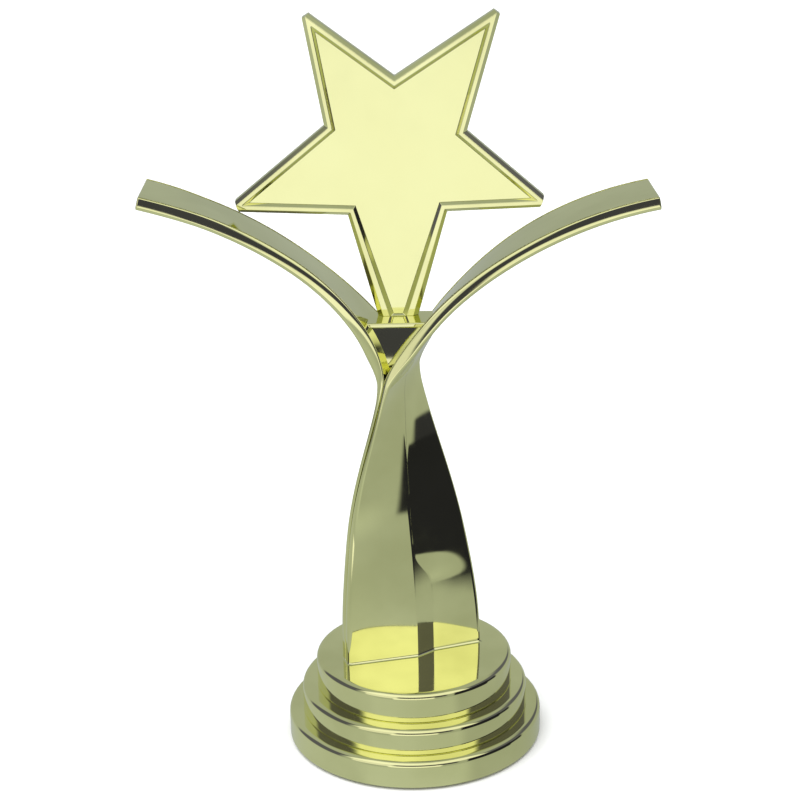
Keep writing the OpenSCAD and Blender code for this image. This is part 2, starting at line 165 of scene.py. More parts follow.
def soften_edges(piece: bpy.types.Object, width: float, segments: int, angle: float) -> None:
    """Rounds the sharp edges of a piece with an applied bevel that keeps its flats flat.

    Args:
        piece: Object to round.
        width: Width of the rounding in millimetres.
        segments: Steps across the rounding.
        angle: Least angle between two faces, in degrees, for their edge to be rounded.
    """
    take(piece)
    bevel = piece.modifiers.new("edges", "BEVEL")
    bevel.width = width * MM
    bevel.segments = segments
    bevel.limit_method = "ANGLE"
    bevel.angle_limit = math.radians(angle)
    bevel.harden_normals = True
    bevel.miter_outer = "MITER_ARC"
    bpy.ops.object.modifier_apply(modifier=bevel.name)


def spun(name: str, profile: list[Span], steps: int = ROUND_STEPS) -> bpy.types.Object:
    """Turns a closed profile round the Z axis, as on a lathe.

    Args:
        name: Piece name.
        profile: Closed outline as (radius, height) in millimetres.
        steps: Steps round the axis.

    Returns:
        The turned piece.
    """
    clear_bench()
    bpy.ops.mesh.primitive_circle_add(vertices=len(profile), radius=MM)
    piece = active_as(name)
    for vertex, (radius, height) in zip(piece.data.vertices, profile):
        vertex.co = Vector((radius, 0, height)) * MM
    edit_mode("SELECT")
    bpy.ops.mesh.spin(steps=steps, angle=math.tau, center=(0, 0, 0), axis=(0, 0, 1))
    merge_and_face_out()
    settle(piece)
    return piece


def softened(corners: list[Span], cuts: list[float], guard: float = 0.12) -> list[Span]:
    """Rounds the corners of a closed outline and adds a guard point beside each rounding.

    The guard points keep the flats' shading flat right up to the rounding.

    Args:
        corners: Corner points, in order.
        cuts: Distance from each corner at which its rounding starts.
        guard: Distance of the guard points from the rounding.

    Returns:
        The rounded outline, with CORNER_POINTS points for each corner.
    """
    points = []
    count = len(corners)
    for i, (corner, cut) in enumerate(zip(corners, cuts)):
        here = Vector(corner)
        back = (Vector(corners[i - 1]) - here).normalized()
        ahead = (Vector(corners[(i + 1) % count]) - here).normalized()
        start, end = here + back * cut, here + ahead * cut
        points.append(tuple(start + back * guard))
        for k in range(CORNER_SEGMENTS + 1):
            t = k / CORNER_SEGMENTS
            spot = start * (1 - t) ** 2 + here * (2 * t * (1 - t)) + end * t**2
            points.append(tuple(spot))
        points.append(tuple(end + ahead * guard))
    return points


# ---- finishes -------------------------------------------------------------------------------


@dataclass
class NodeBench:
    """Short ways to add and join the nodes of one material or world."""

    tree: bpy.types.NodeTree

    def add(self, kind: str, **values: object) -> bpy.types.Node:
        """Adds a node.

        Args:
            kind: Node type.
            **values: Properties of the node.

        Returns:
            The node.
        """
        node = self.tree.nodes.new(kind)
        for key, value in values.items():
            setattr(node, key, value)
        return node

    def join(self, source: bpy.types.NodeSocket, target: bpy.types.NodeSocket) -> None:
        """Links an output to an input."""
        self.tree.links.new(source, target)

    def noise(
        self, vector: bpy.types.NodeSocket, scale: float, detail: float, rough: float = 0.5
    ) -> bpy.types.NodeSocket:
        """Adds a noise texture.

        Args:
            vector: Where it is read.
            scale: Waves in a metre.
            detail: Octaves of finer waves.
            rough: Strength of the finer waves.

        Returns:
            Its factor output.
        """
        node = self.add("ShaderNodeTexNoise")
        node.inputs["Scale"].default_value = scale
        node.inputs["Detail"].default_value = detail
        node.inputs["Roughness"].default_value = rough
        self.join(vector, node.inputs["Vector"])
        return node.outputs["Fac"]

    def ranged(
        self, value: bpy.types.NodeSocket, source: Span, target: Span, smooth: bool = False
    ) -> bpy.types.NodeSocket:
        """Adds a clamped change of range.

        Args:
            value: What is changed.
            source: Range it is read in.
            target: Range it is given.
            smooth: Whether the ends ease in and out.

        Returns:
            The changed value.
        """
        node = self.add("ShaderNodeMapRange")
        node.interpolation_type = "SMOOTHSTEP" if smooth else "LINEAR"
        for name, number in zip(("From Min", "From Max", "To Min", "To Max"), source + target):
            node.inputs[name].default_value = number
        self.join(value, node.inputs["Value"])
        return node.outputs["Result"]

    def math(
        self, kind: str, first: bpy.types.NodeSocket, second: bpy.types.NodeSocket | float = 0.0
    ) -> bpy.types.NodeSocket:
        """Adds a sum on two values.

        Args:
            kind: Blender's name of the operation.
            first: First value.
            second: Second value, linked or a number.

        Returns:
            The result.
        """
        node = self.add("ShaderNodeMath", operation=kind)
        self.join(first, node.inputs[0])
        if isinstance(second, (int, float)):
            node.inputs[1].default_value = second
        else:
            self.join(second, node.inputs[1])
        return node.outputs[0]

    def blend(
        self, factor: bpy.types.NodeSocket, low: Tone | bpy.types.NodeSocket,
        high: Tone | bpy.types.NodeSocket,
    ) -> bpy.types.NodeSocket:
        """Adds a blend between two colours.

        Args:
            factor: Share of the second colour.
            low: First colour, plain or linked.
            high: Second colour, plain or linked.

        Returns:
            The blended colour.
        """
        node = self.add("ShaderNodeMixRGB")
        self.join(factor, node.inputs["Fac"])
        for name, part in (("Color1", low), ("Color2", high)):
            if isinstance(part, tuple):
                node.inputs[name].default_value = (*part, 1)
            else:
                self.join(part, node.inputs[name])
        return node.outputs["Color"]

    def bumped(
        self, height: bpy.types.NodeSocket, distance: float,
        under: bpy.types.NodeSocket | None = None,
    ) -> bpy.types.NodeSocket:
        """Adds a bump.

        Args:
            height: Height between 0 and 1.
            distance: Millimetres that a height of 1 stands for.
            under: A bump that this one lies on.

        Returns:
            The bumped normal.
        """
        node = self.add("ShaderNodeBump")
        node.inputs["Distance"].default_value = distance * MM
        self.join(height, node.inputs["Height"])
        if under is not None:
            self.join(under, node.inputs["Normal"])
        return node.outputs["Normal"]


@dataclass(frozen=True)
class Finish:
    """What every finish starts from: a name and the two tones that it varies between."""

    name: str
    tone: Tone
    second_tone: Tone

    def start(
        self, metallic: float
    ) -> tuple[bpy.types.Material, NodeBench, bpy.types.Node, bpy.types.NodeSocket]:
        """Starts the material.

        Args:
            metallic: Share of metal in it.

        Returns:
            The material, the bench of its nodes, its shader and the place on the piece.
        """
        made = bpy.data.materials.new(self.name)
        made.use_nodes = True
        shader = made.node_tree.nodes["Principled BSDF"]
        shader.inputs["Metallic"].default_value = metallic
        bench = NodeBench(made.node_tree)
        return made, bench, shader, bench.add("ShaderNodeTexCoord").outputs["Object"]


@dataclass(frozen=True)
class MirrorPlate(Finish):
    """Polished plating: a mirror with slow waves, a fine polish and a little change of tone."""

    gloss: float = 0.05
    haze: float = 0.09
    cloud_scale: float = 34.0
    smear_scale: float = 120.0
    wave: float = 0.010
    wave_scale: float = 55.0
    polish: float = 0.0006
    polish_scale: float = 900.0

    def material(self) -> bpy.types.Material:
        """Builds the material.

        Returns:
            The plated finish.
        """
        made, bench, shader, place = self.start(metallic=1.0)
        clouds = bench.noise(place, self.cloud_scale, detail=3.0)
        tone = bench.ranged(clouds, source=(0.3, 0.7), target=FULL, smooth=True)
        bench.join(bench.blend(tone, self.tone, self.second_tone), shader.inputs["Base Color"])

        smears = bench.noise(place, self.smear_scale, detail=6.0, rough=0.65)
        spread = (self.gloss, self.haze)
        haze = bench.ranged(smears, source=(0.35, 0.75), target=spread, smooth=True)
        bench.join(haze, shader.inputs["Roughness"])

        waves = bench.noise(place, self.wave_scale, detail=2.0, rough=0.4)
        grain = bench.noise(place, self.polish_scale, detail=4.0, rough=0.6)
        relief = bench.bumped(grain, self.polish, bench.bumped(waves, self.wave))
        bench.join(relief, shader.inputs["Normal"])
        return made


@dataclass(frozen=True)
class TurnedMetal(Finish):
    """Plain worked metal of the fixings, with fine tool marks and a dull tarnish."""

    gloss: float = 0.25
    haze: float = 0.45
    tarnish_scale: float = 180.0
    mark_scale: float = 1800.0
    mark_depth: float = 0.01

    def material(self) -> bpy.types.Material:
        """Builds the material.

        Returns:
            The worked metal.
        """
        made, bench, shader, place = self.start(metallic=1.0)
        dull = bench.noise(place, self.tarnish_scale, detail=5.0)
        tarnish = bench.ranged(dull, source=(0.35, 0.7), target=FULL, smooth=True)
        bench.join(bench.blend(tarnish, self.tone, self.second_tone), shader.inputs["Base Color"])
        haze = bench.ranged(tarnish, FULL, (self.gloss, self.haze))
        bench.join(haze, shader.inputs["Roughness"])
        marks = bench.noise(place, self.mark_scale, detail=3.0, rough=0.7)
        bench.join(bench.bumped(marks, self.mark_depth), shader.inputs["Normal"])
        return made


@dataclass(frozen=True)
class CastIron(Finish):
    """Rough cast weight: dark, pitted, stained with rust and only a little shiny."""

    metal: float = 0.7
    stain_scale: float = 90.0
    roughness: Span = (0.55, 0.85)
    pit_scale: float = 700.0
    pit_depth: float = 0.15

    def material(self) -> bpy.types.Material:
        """Builds the material.

        Returns:
            The cast finish.
        """
        made, bench, shader, place = self.start(self.metal)
        spots = bench.noise(place, self.stain_scale, detail=6.0, rough=0.7)
        stains = bench.ranged(spots, source=(0.5, 0.75), target=FULL, smooth=True)
        bench.join(bench.blend(stains, self.tone, self.second_tone), shader.inputs["Base Color"])
        bench.join(bench.ranged(stains, FULL, self.roughness), shader.inputs["Roughness"])
        pits = bench.noise(place, self.pit_scale, detail=5.0, rough=0.7)
        bench.join(bench.bumped(pits, self.pit_depth), shader.inputs["Normal"])
        return made


@dataclass(frozen=True)
class PressedFelt(Finish):
    """Short matted felt under the base."""

    fibre_scale: float = 2600.0
    fibre_depth: float = 0.06
    clump_scale: float = 420.0
    clump_depth: float = 0.12
    roughness: Span = (0.88, 1.0)
    sheen: float = 0.35
    sheen_roughness: float = 0.6
    shine: float = 0.15

    def material(self) -> bpy.types.Material:
        """Builds the material.

        Returns:
            The felt.
        """
        made, bench, shader, place = self.start(metallic=0.0)
        fibres = bench.noise(place, self.fibre_scale, detail=6.0, rough=0.75)
        clumps = bench.noise(place, self.clump_scale, detail=4.0, rough=0.6)
        mixed = bench.math("MULTIPLY", fibres, clumps)
        shade = bench.ranged(mixed, source=(0.15, 0.4), target=FULL, smooth=True)
        bench.join(bench.blend(shade, self.tone, self.second_tone), shader.inputs["Base Color"])
        matt = bench.ranged(clumps, source=(0.3, 0.7), target=self.roughness)
        bench.join(matt, shader.inputs["Roughness"])
        shader.inputs["Sheen Weight"].default_value = self.sheen
        shader.inputs["Sheen Roughness"].default_value = self.sheen_roughness
        shader.inputs["Specular IOR Level"].default_value = self.shine
        relief = bench.bumped(fibres, self.fibre_depth, bench.bumped(clumps, self.clump_depth))
        bench.join(relief, shader.inputs["Normal"])
        return made


@dataclass
class Finishes:
    """The finish of each material slot, built once and shared by the pieces."""

    made: dict[Slot, bpy.types.Material] = field(default_factory=dict)

    def build(self) -> None:
        """Builds every finish."""
        recipes = {
            Slot.PLATE: MirrorPlate("plated_gold", (0.94, 0.94, 0.495), (0.82, 0.82, 0.41)),
            Slot.PANEL: MirrorPlate(
                "plated_gold_panel", (0.935, 0.945, 0.49), (0.925, 0.93, 0.475),
                gloss=0.09, haze=0.12, wave=0.004, wave_scale=40.0,
            ),
            Slot.STEEL: TurnedMetal("zinced_steel", (0.60, 0.61, 0.63), (0.42, 0.43, 0.44)),
            Slot.IRON: CastIron("cast_iron", (0.045, 0.045, 0.05), (0.11, 0.06, 0.035)),
            Slot.BRASS: TurnedMetal("turned_brass", (0.78, 0.58, 0.25), (0.52, 0.38, 0.16)),
            Slot.FELT: PressedFelt("pressed_felt", (0.012, 0.012, 0.014), (0.05, 0.05, 0.055)),
        }
        for slot, recipe in recipes.items():
            self.made[slot] = recipe.material()

    def dress(self, piece: bpy.types.Object, slot: Slot) -> None:
        """Puts one finish all over a new piece.

        Args:
            piece: Piece to dress.
            slot: Slot whose finish it takes.
        """
        piece.data.materials.clear()
        piece.data.materials.append(self.made[slot])

    def dress_node(self, node: bpy.types.Object, slot: Slot) -> None:
        """Gives a carried-over CAD node its finish in the material slots that it has.

        Args:
            node: CAD node.
            slot: Slot whose finish it takes.
        """
        for place in node.material_slots:
            place.material = self.made[slot]


# ---- base -----------------------------------------------------------------------------------


@dataclass
class Tier:
    """One tier of the base: a turned cap with a wall, a deck and rounded edges.

    Ring is the outer and inner radius of the low ring on the deck that centres the next tier.
    """

    node: str
    low: float
    high: float
    radius: float
    deck: float
    ring: Span | None = None
    ring_height: float = 1.2
    ring_root: float = 0.15
    wall: float = 2.2
    bolt_hole: float = 2.65
    edge: float = 0.5
    top_edge: float = 2.0
    small_edge: float = 0.2
    hollow_edge: float = 0.4

    def build(self) -> bpy.types.Object:
        """Turns the tier on the lathe.

        Returns:
            The tier.
        """
        small = self.small_edge
        corners = [(self.radius, self.low), (self.radius, self.high)]
        cuts = [self.edge, self.top_edge]
        if self.ring:
            outer, inner = self.ring
            top = self.high + self.ring_height
            corners += [(outer, self.high), (outer, top), (inner, top), (inner, self.high)]
            cuts += [self.ring_root, small, small, self.ring_root]
        hollow, ceiling = self.radius - self.wall, self.high - self.deck
        corners += [(self.bolt_hole, self.high), (self.bolt_hole, ceiling)]
        corners += [(hollow, ceiling), (hollow, self.low)]
        cuts += [small, small, self.hollow_edge, small]
        return spun(f"{self.node}_turned", softened(corners, cuts))


@dataclass
class Base:
    """The round base: three tiers on a felt pad."""

    felt_radius: float = 41.0
    felt_height: float = 1.0
    felt_insets: Span = (0.3, 1.5)
    felt_trim: float = 0.12
    felt_press: float = 0.8
    rim_near: float = 0.1
    fray: tuple[tuple[float, float, float], ...] = ((0.06, 23, 0), (0.04, 57, 1))
    tiers: list[Tier] = field(default_factory=lambda: [
        Tier("lower_tier", 1.0, 10.4, 43.0, deck=2.0, ring=(35.85, 33.85)),
        Tier("middle_tier", 10.4, 19.5, 38.2, deck=2.0, ring=(30.75, 28.75)),
        Tier("upper_tier", 19.5, 29.9, 33.1, deck=2.5),
    ])

    def felt(self) -> bpy.types.Object:
        """Cuts the felt disc, with a soft edge and a slightly uneven rim.

        Returns:
            The felt.
        """
        clear_bench()
        bpy.ops.mesh.primitive_cylinder_add(
            vertices=ROUND_STEPS, radius=self.felt_radius * MM, depth=self.felt_height * MM,
            location=(0, 0, self.felt_height / 2 * MM), end_fill_type="NGON",
        )
        piece = active_as("felt_disc")
        edit_mode()
        bpy.ops.mesh.select_mode(type="FACE")
        bpy.ops.object.mode_set(mode="OBJECT")
        for face in piece.data.polygons:
            face.select = abs(face.normal.z) > SQUARE_ON
        bpy.ops.object.mode_set(mode="EDIT")
        for inset in self.felt_insets:
            bpy.ops.mesh.inset(thickness=inset * MM, use_individual=True)
        bpy.ops.object.mode_set(mode="OBJECT")
        for vertex in piece.data.vertices:
            reach = vertex.co.xy.length
            turn = math.atan2(vertex.co.y, vertex.co.x)
            if reach > (self.felt_radius - self.rim_near) * MM:
                fray = sum(size * math.sin(waves * turn + lag) for size, waves, lag in self.fray)
                vertex.co.xy *= 1 - (self.felt_trim + fray) * MM / reach
                vertex.co.z *= self.felt_press
        settle(piece)
        return piece

    def assemble(self, finishes: Finishes) -> None:
        """Builds the base, dresses it and puts it in place of its CAD nodes.

        Args:
            finishes: Finishes of the slots.
        """
        for tier in self.tiers:
            piece = tier.build()
            finishes.dress(piece, Slot.PLATE)
            install(piece, tier.node)
        piece = self.felt()
        finishes.dress(piece, Slot.FELT)
        install(piece, "felt_pad")


# ---- ribbons --------------------------------------------------------------------------------


def ramp(spot: float, start: float, end: float) -> float:
    """Eases from 0 to 1.

    Args:
        spot: Height or distance that is asked about.
        start: Where it leaves 0.
        end: Where it reaches 1.

    Returns:
        A number from 0 to 1.
    """
    t = max(0.0, min(1.0, (spot - start) / (end - start)))
    return t * t * (3 - 2 * t)


@dataclass
class Crown:
    """The line, width, thickness and turn that both ribbons share.

    Heights named above or below are measured from the neck, where the ribbons part.
    """

    foot_z: float = 29.9
    foot_x: float = -0.6
    neck_z: float = 128.7
    neck_x: float = -3.0
    lean_len: float = 82.0
    foot_w: float = 47.6
    arm_w: float = 24.4
    narrow_above: float = 18.0
    foot_t: float = 3.5
    waist_t: float = 1.5
    thin_h: float = 90.0
    waist_below: float = 7.0
    arm_t: float = 4.2
    thick_above: float = 13.7
    foot_turn: float = 19.0
    early_turn: float = 10.0
    neck_turn: float = 77.4
    twist_len: float = 78.0
    twist_over: float = 23.0
    straight_h: float = 3.5
    crest_h: float = 2.4
    crest_w: float = 6.8
    step_low: float = 25.0
    step_high: float = 37.0
    step_lasting: float = 0.15

    def width(self, z: float) -> float:
        """Width of a ribbon at a height."""
        share = ramp(z, self.foot_z + self.straight_h, self.neck_z + self.narrow_above)
        return self.foot_w + (self.arm_w - self.foot_w) * share

    def thickness(self, z: float) -> float:
        """Thickness of a ribbon at a height."""
        thin = (self.waist_t - self.foot_t) * ramp(z, self.foot_z, self.foot_z + self.thin_h)
        low, high = self.neck_z - self.waist_below, self.neck_z + self.thick_above
        return self.foot_t + thin + (self.arm_t - self.waist_t) * ramp(z, low, high)

    def crest(self, z: float) -> float:
        """Height of the crest on the broad faces at a height."""
        return self.crest_h * (1 - ramp(z, self.foot_z, self.neck_z + self.narrow_above))

    def step_share(self, z: float) -> float:
        """Share of the crest's step that is left at a height."""
        gone = ramp(z, self.foot_z + self.step_low, self.foot_z + self.step_high)
        return 1 - (1 - self.step_lasting) * gone

    def column_point(self, z: float) -> Vector:
        """Point of the joint line between the ribbons at a height."""
        share = ramp(z, self.foot_z, self.foot_z + self.lean_len)
        return Vector((self.foot_x + (self.neck_x - self.foot_x) * share, 0, z))


@dataclass
class Station:
    """One place along a ribbon: a point on its inner face, and its width's and depth's ways."""

    point: Vector
    across: Vector
    out: Vector


@dataclass
class Ribbon:
    """One ribbon of the column and the arm that it opens into.

    Reach, rise, slope, pull and end_pull shape the arm's curve. Full_turn is the widest turn,
    open_by the height above the neck at which the ribbon has it, and back_from the height above
    the neck from which the left one turns back square to the front. Peak is where through the
    thickness a swollen edge stands out most, and power how square the swelling is: each starts
    with its value on the column, then what it gains on the arm, then what it loses at the end.
    """

    node: str
    side: Side
    reach: float
    rise: float
    slope: float
    pull: float
    end_pull: float
    full_turn: float
    open_by: float
    back_from: float = 56.5
    crown: Crown = field(default_factory=Crown)

    column_steps: int = 120
    arm_steps: int = 120
    foot_steps: tuple[float, ...] = (0.0, 0.05, 0.15, 0.3, 0.5, 0.7)
    foot_clear: float = 0.9
    end_steps: tuple[float, ...] = (0.75, 0.55, 0.38, 0.24, 0.12, 0.04, 0.0)
    flat_steps: int = 5

    outer_round: float = 1.25
    outer_most: float = 0.34
    inner_round: float = 0.3
    inner_most: float = 0.2
    groove_round: float = 0.05
    crest_round: float = 0.35
    crest_softer: float = 0.9
    crest_most: float = 0.45
    softer_from: float = 30.0

    seam_open: float = 0.22
    seam_deep: float = 1.1
    seam_fade: Span = (-12.0, 2.0)
    seam_hair: float = 0.01
    seam_lap: float = 0.2

    bulge: float = 0.28
    bulge_by: float = 20.0
    arm_bulge: float = 0.5
    arm_by: float = 25.0
    end_flat: float = 0.12
    end_from: Span = (38.0, 60.0)
    bulge_w: float = 1.6
    bulge_share: float = 0.8
    peak: Span = (0.5, 0.25)
    power: tuple[float, float, float] = (2.0, 2.0, 2.2)
    outer_ease: float = 0.7

    end_rings: int = 8
    end_round: float = 0.45
    foot_flare: float = 0.5
    flare_h: float = 0.7

    def controls(self) -> list[Vector]:
        """Control points of the arm's curve.

        Returns:
            Four points.
        """
        way = self.side.value
        start = Vector((self.crown.neck_x, 0, self.crown.neck_z))
        end = start + Vector((way * self.reach, 0, self.rise))
        slope = math.radians(self.slope)
        along = Vector((way * math.cos(slope), 0, math.sin(slope)))
        return [start, start + Vector((0, 0, self.pull)), end - self.end_pull * along, end]

    def on_arm(self, t: float) -> tuple[Vector, Vector]:
        """Point and direction on the arm's curve.

        Args:
            t: Share of the curve, from 0 to 1.

        Returns:
            The point and its unit direction.
        """
        a, b, c, d = self.controls()
        s = 1 - t
        point = s**3 * a + 3 * s * s * t * b + 3 * s * t * t * c + t**3 * d
        way = 3 * s * s * (b - a) + 6 * s * t * (c - b) + 3 * t * t * (d - c)
        return point, way.normalized()

    def turn(self, z: float) -> float:
        """Turn of the ribbon's width about Z at a height.

        Args:
            z: Height.

        Returns:
            The turn in degrees.
        """
        c = self.crown
        top = c.neck_z + c.twist_over
        early = 1 - (1 - max(0.0, min(1.0, (z - c.foot_z) / (top - c.foot_z)))) ** 2
        late = c.neck_turn - c.foot_turn - c.early_turn
        angle = c.foot_turn + c.early_turn * early + late * ramp(z, top - c.twist_len, top)
        more = self.full_turn - c.neck_turn
        if self.side is Side.RIGHT:
            return angle + more * ramp(z, top, c.neck_z + self.open_by)
        squaring = ramp(z, c.neck_z + self.back_from, c.neck_z + self.rise)
        opening = ramp(z, c.neck_z, c.neck_z + self.open_by)
        return angle + more * opening - (self.full_turn - SQUARE_TURN) * squaring

    def station(self, point: Vector, path: Vector) -> Station:
        """Works out one station.

        Args:
            point: Point on the inner face.
            path: Unit direction of the ribbon there.

        Returns:
            The station.
        """
        a = math.radians(self.turn(point.z))
        across = Vector((math.cos(a), math.sin(a), 0))
        out = across.cross(path).normalized() * self.side.value
        return Station(point, across, out)

    def stations(self) -> list[Station]:
        """All stations from the foot to the arm's end.

        Returns:
            The stations, in order.
        """
        c = self.crown
        rise = (c.neck_z - c.foot_z) / self.column_steps
        up = Vector((0, 0, 1))
        heights = [c.foot_z + h for h in self.foot_steps]
        risen = [rise * i for i in range(1, self.column_steps)]
        heights += [c.foot_z + h for h in risen if h > self.foot_clear]
        found = [self.station(c.column_point(z), up) for z in heights]
        shares = [i / self.arm_steps for i in range(self.arm_steps)]
        shares += [1 - step / self.arm_steps for step in self.end_steps]
        found += [self.station(*self.on_arm(t)) for t in shares]
        return found

    def corners(
        self, z: float, half: float, low: float, high: float
    ) -> tuple[list[Span], list[float]]:
        """Corners of the ribbon's section: a groove at each side of the seam and a crest.

        Args:
            z: Height of the station.
            half: Half the width.
            low: Inner face, through the thickness.
            high: Outer face beside the crest, through the thickness.

        Returns:
            The corner points and how far from each of them its rounding starts.
        """
        c = self.crown
        below, above = self.seam_fade
        seam = 1 - ramp(z, c.neck_z + below, c.neck_z + above)
        slot = low + max(self.seam_hair, self.seam_open * seam)
        deep = self.seam_deep * seam + self.seam_lap
        step = c.crest_w * c.step_share(z)
        top = high + c.crest(z)
        toe = top - c.crest(z) * c.step_share(z)
        crest = [(step, toe), (0.0, top)] if self.side is Side.RIGHT else [(0.0, top), (-step, toe)]
        points = [
            (-half + deep, low), (half - deep, low), (half - deep, slot), (half, slot),
            (half, high), *crest, (-half, high), (-half, slot), (-half + deep, slot),
        ]
        soft = self.crest_round + self.crest_softer * ramp(z, c.foot_z + self.softer_from, c.neck_z)
        soft = min(soft, self.crest_most * step)
        outer = min(self.outer_round, self.outer_most * c.thickness(z))
        inner = min(self.inner_round, self.inner_most * c.thickness(z))
        groove = self.groove_round
        return points, [groove, groove, groove, inner, outer, soft, soft, outer, inner, groove]

    def filled(self, points: list[Span]) -> list[Span]:
        """Adds points along the flats of a rounded outline.

        Args:
            points: Rounded outline.

        Returns:
            The outline with flat_steps equal steps on each flat.
        """
        found = []
        for i, spot in enumerate(points):
            found.append(spot)
            if (i + 1) % CORNER_POINTS:
                continue
            ahead = points[(i + 1) % len(points)]
            for k in range(1, self.flat_steps):
                share = k / self.flat_steps
                found.append(tuple(a + (b - a) * share for a, b in zip(spot, ahead)))
        return found

    def crowned(self, points: list[Span], z: float, half: float) -> list[Span]:
        """Swells the two narrow edges of an outline, as polishing leaves them.

        Args:
            points: Outline.
            z: Height of the station.
            half: Half the width.

        Returns:
            The swollen outline.
        """
        c = self.crown
        t = c.thickness(z)
        on_arm = ramp(z, c.neck_z, c.neck_z + self.arm_by)
        on_end = ramp(z, *(c.neck_z + above for above in self.end_from))
        swell = self.bulge * ramp(z, c.foot_z, c.foot_z + self.bulge_by)
        swell += (self.arm_bulge - self.bulge) * on_arm - self.end_flat * on_end
        peak = t * (self.peak[0] + self.peak[1] * on_arm)
        power = self.power[0] + self.power[1] * on_arm - self.power[2] * on_end
        shaped = []
        for x, y in points:
            if abs(x) > half * self.bulge_share:
                away = (peak - y) / peak
                if y >= peak:
                    away = (y - peak) / (t - peak) * (1 - self.outer_ease * on_arm)
                middle = max(0.0, 1 - abs(away) ** power)
                edge = ramp(abs(x), half - self.bulge_w, half)
                x += math.copysign(swell * middle * edge, x)
            shaped.append((x, y))
        return shaped

    def section(self, z: float, shrink: float = 0.0) -> list[Span]:
        """Outline of the ribbon's section, across its width and through its thickness.

        Args:
            z: Height of the station.
            shrink: Distance by which the outline lies inside its full size.

        Returns:
            The outline's points, equally many at every height.
        """
        half = self.crown.width(z) / 2 - shrink
        corners, cuts = self.corners(z, half, shrink, self.crown.thickness(z) - shrink)
        return self.crowned(self.filled(softened(corners, cuts)), z, half)

    def build(self) -> bpy.types.Object:
        """Rolls a sheet into the ribbon, station by station, and closes its ends.

        Returns:
            The ribbon.
        """
        stations = self.stations()
        end = len(stations) - 1
        rings = []
        for i, s in enumerate(stations):
            shrink = 0.0
            if i < self.end_rings:
                gone = (s.point - stations[0].point).length
                shrink = -self.foot_flare * max(0.0, 1 - gone / self.flare_h) ** 2
            elif i > end - self.end_rings:
                gone = (stations[end].point - s.point).length
                rest = max(0.0, 1 - gone / self.end_round)
                shrink = self.end_round * (1 - math.sqrt(1 - rest * rest))
            outline = self.section(s.point.z, shrink)
            rings.append([s.point + x * s.across + y * s.out for x, y in outline])
        around = len(rings[0])
        clear_bench()
        bpy.ops.mesh.primitive_grid_add(x_subdivisions=around, y_subdivisions=end, size=2)
        piece = active_as(f"{self.node}_polished")
        for vertex in piece.data.vertices:
            i = round((vertex.co.y + 1) / 2 * end)
            j = round((vertex.co.x + 1) / 2 * around) % around
            vertex.co = rings[i][j] * MM
        edit_mode()
        merge_and_face_out(WIDE_MERGE)
        bpy.ops.mesh.select_all(action="DESELECT")
        bpy.ops.mesh.select_non_manifold()
        bpy.ops.mesh.fill_holes(sides=0)
        merge_and_face_out(WIDE_MERGE)
        settle(piece)
        return piece

    def inner_x(self, z: float, y: float) -> float:
        """Where the arm's inner face stands at a height.

        Args:
            z: Height above the table.
            y: Place from front to back.

        Returns:
            The face's X.
        """
        low, high = 0.0, 1.0
        for _ in range(HALVINGS):
            mid = (low + high) / 2
            if self.on_arm(mid)[0].z < z:
                low = mid
            else:
                high = mid
        point = self.on_arm(low)[0]
        a = math.radians(self.turn(z))
        return point.x + y * math.cos(a) / math.sin(a)


@dataclass
class Column:
    """The two ribbons."""

    right: Ribbon = field(default_factory=lambda: Ribbon(
        "right_ribbon", Side.RIGHT, reach=81.5, rise=60.6, slope=10.0, pull=11.0, end_pull=55.0,
        full_turn=92.0, open_by=63.0,
    ))
    left: Ribbon = field(default_factory=lambda: Ribbon(
        "left_ribbon", Side.LEFT, reach=79.3, rise=64.0, slope=15.0, pull=10.0, end_pull=60.0,
        full_turn=95.8, open_by=43.7,
    ))

    def assemble(self, finishes: Finishes) -> None:
        """Builds both ribbons and puts them in place of their CAD nodes.

        Args:
            finishes: Finishes of the slots.
        """
        for ribbon in (self.right, self.left):
            piece = ribbon.build()
            finishes.dress(piece, Slot.PLATE)
            install(piece, ribbon.node)


# ---- bridge ---------------------------------------------------------------------------------


